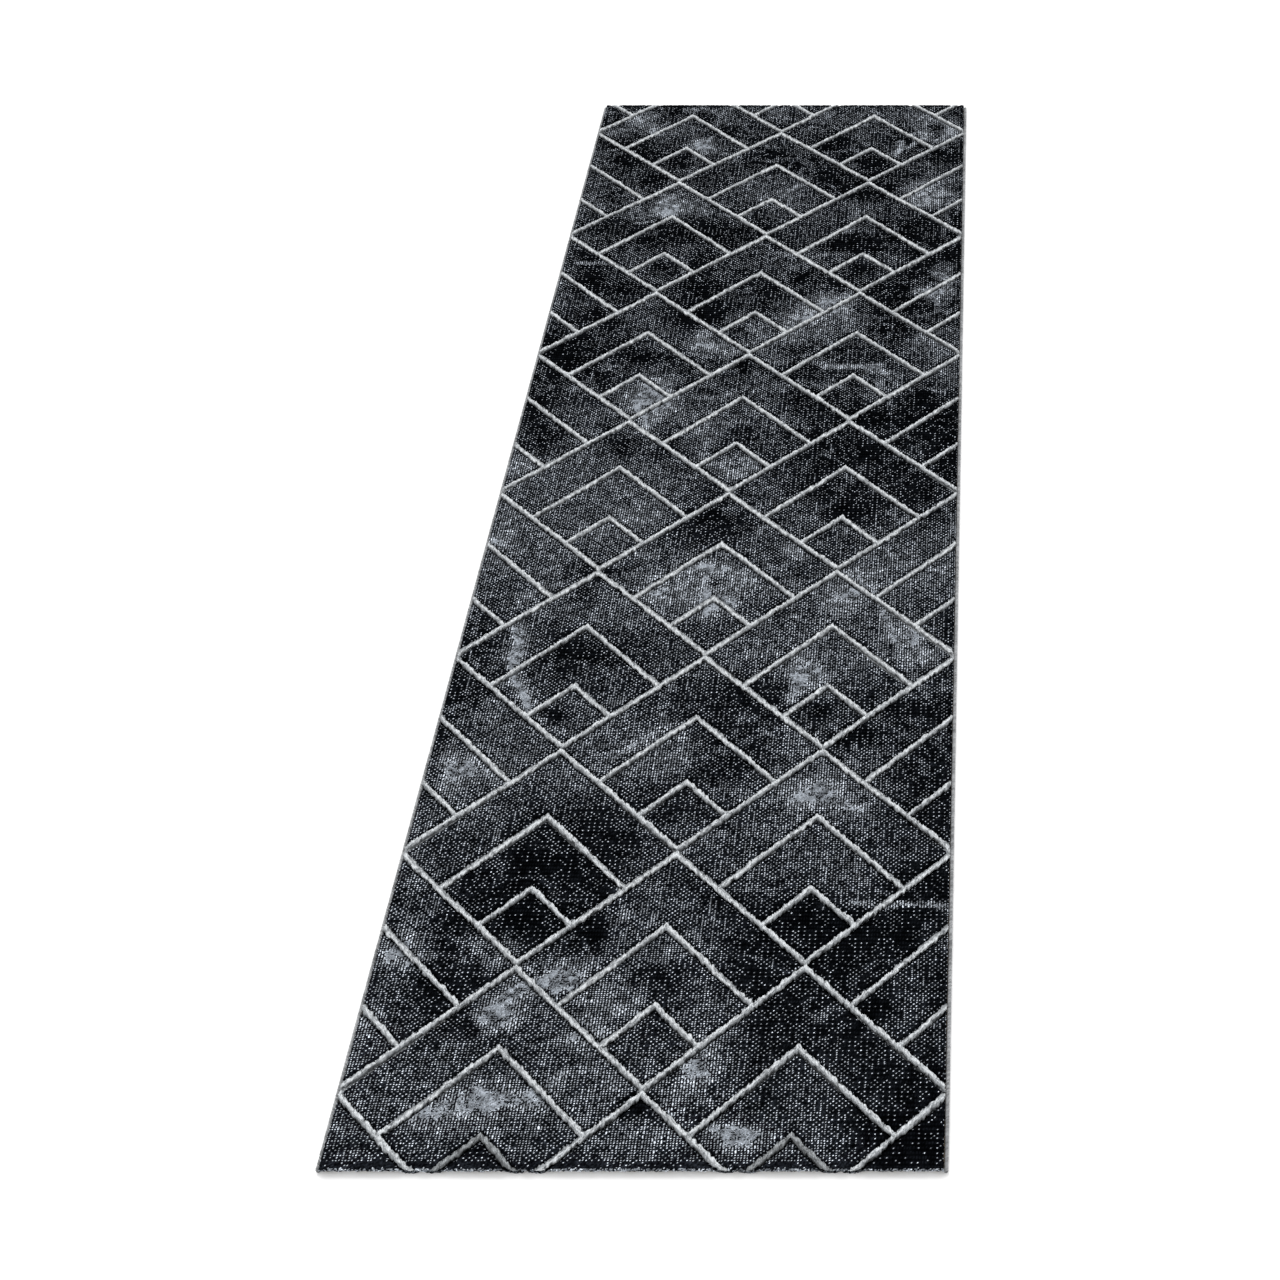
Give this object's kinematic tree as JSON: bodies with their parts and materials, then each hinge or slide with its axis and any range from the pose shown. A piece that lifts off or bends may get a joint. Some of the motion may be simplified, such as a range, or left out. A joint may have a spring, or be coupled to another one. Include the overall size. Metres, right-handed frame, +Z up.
{
  "type": "runner rug",
  "caption": "Woven cut-pile runner rug: dark marbled pile carved beside raised silver lines in a diamond and chevron lattice, overcast long edges, folded ends.",
  "frame": {"origin": "centre of the underside, on the floor", "axes": "+X across the width, +Y along the length towards the far end, which the chevrons point to, +Z up through the pile"},
  "size_m": [0.8, 2.5, 0.0137],
  "materials": {
    "dark_pile": "matt heat-set polypropylene cut pile, near-black and grey tufts",
    "silver_pile": "silver-white twisted pile with a faint sheen",
    "edge_yarn": "grey overcasting yarn",
    "edge_cord": "twisted cord",
    "ground_weave": "jute and cotton ground weave, ribbed on the back",
    "back_sizing": "thin brushed-on sizing over the weave",
    "hem_adhesive": "hot-melt adhesive film"
  },
  "bodies": {
    "root": {"back_sizing": "back_sizing", "far_hem_adhesive": "hem_adhesive", "ground_weave": "ground_weave", "left_overcast_binding": "edge_yarn", "left_selvedge_cord": "edge_cord", "near_hem_adhesive": "hem_adhesive", "near_left_cut_chevron": "silver_pile", "near_right_cut_chevron": "silver_pile", "pile_field_centre_1": "dark_pile", "pile_field_centre_2": "dark_pile", "pile_field_centre_3": "dark_pile", "pile_field_centre_4": "dark_pile", "pile_field_centre_5": "dark_pile", "pile_field_centre_6": "dark_pile", "pile_field_centre_7": "dark_pile", "pile_field_centre_8": "dark_pile", "pile_field_left_1": "dark_pile", "pile_field_left_2": "dark_pile", "pile_field_left_3": "dark_pile", "pile_field_left_4": "dark_pile", "pile_field_left_5": "dark_pile", "pile_field_left_6": "dark_pile", "pile_field_left_7": "dark_pile", "pile_field_left_edge_1": "dark_pile", "pile_field_left_edge_2": "dark_pile", "pile_field_left_edge_3": "dark_pile", "pile_field_left_edge_4": "dark_pile", "pile_field_left_edge_5": "dark_pile", "pile_field_left_edge_6": "dark_pile", "pile_field_left_edge_7": "dark_pile", "pile_field_left_edge_8": "dark_pile", "pile_field_right_1": "dark_pile", "pile_field_right_2": "dark_pile", "pile_field_right_3": "dark_pile", "pile_field_right_4": "dark_pile", "pile_field_right_5": "dark_pile", "pile_field_right_6": "dark_pile", "pile_field_right_7": "dark_pile", "pile_field_right_edge_1": "dark_pile", "pile_field_right_edge_2": "dark_pile", "pile_field_right_edge_3": "dark_pile", "pile_field_right_edge_4": "dark_pile", "pile_field_right_edge_5": "dark_pile", "pile_field_right_edge_6": "dark_pile", "pile_field_right_edge_7": "dark_pile", "pile_field_right_edge_8": "dark_pile", "right_overcast_binding": "edge_yarn", "right_selvedge_cord": "edge_cord", "silver_line_lattice": "silver_pile"}
  },
  "joints": []
}
